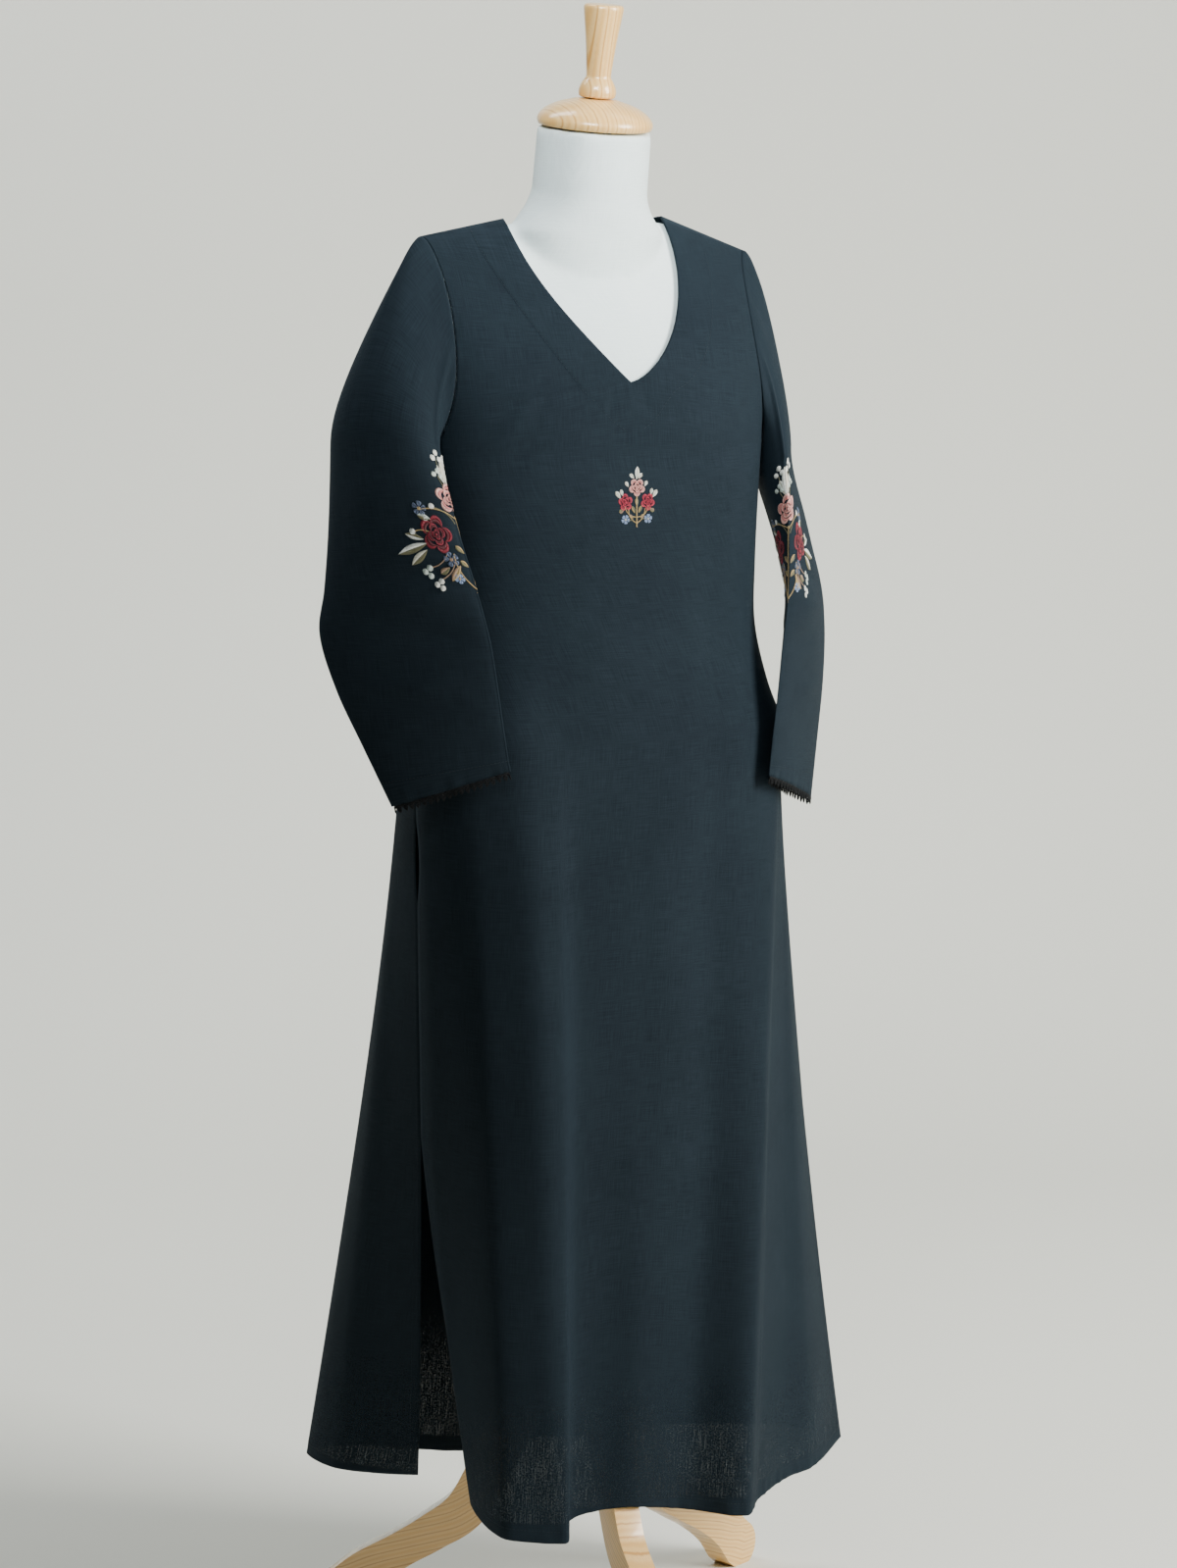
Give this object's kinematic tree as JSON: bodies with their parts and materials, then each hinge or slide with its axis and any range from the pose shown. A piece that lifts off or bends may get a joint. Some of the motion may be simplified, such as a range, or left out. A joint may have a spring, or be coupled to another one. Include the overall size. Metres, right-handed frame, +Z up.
{
  "type": "a-line kurta on a dress form",
  "caption": "Long dark a-line kurta with a curved v neck, long creased sleeves, side slits and flower embroidery, worn by a limbless linen dress form on a turned wooden tripod.",
  "frame": {"origin": "on the floor under the middle of the whole object's outline", "axes": "+Z up, the garment's front faces -Y, +X is the wearer's left"},
  "size_m": [0.589, 0.5134, 1.6709],
  "materials": {
    "navy_cotton": "matt plain weave with light slubs",
    "black_lace": "matt cotton picot lace",
    "grey_linen": "matt stretched linen",
    "lacquered_wood": "pale wood under gloss lacquer",
    "steel_tube": "brushed"
  },
  "bodies": {
    "root": {"front_panel": "navy_cotton", "back_panel": "navy_cotton", "right_sleeve": "navy_cotton", "left_sleeve": "navy_cotton", "neck_facing": "navy_cotton", "pocket_bag": "navy_cotton", "right_cuff_lace": "black_lace", "left_cuff_lace": "black_lace", "torso_form": "grey_linen", "neck_cap": "lacquered_wood", "finial": "lacquered_wood", "base_plate": "lacquered_wood", "hub": "lacquered_wood", "leg_front": "lacquered_wood", "leg_left": "lacquered_wood", "leg_right": "lacquered_wood", "pole": "steel_tube"}
  },
  "joints": []
}
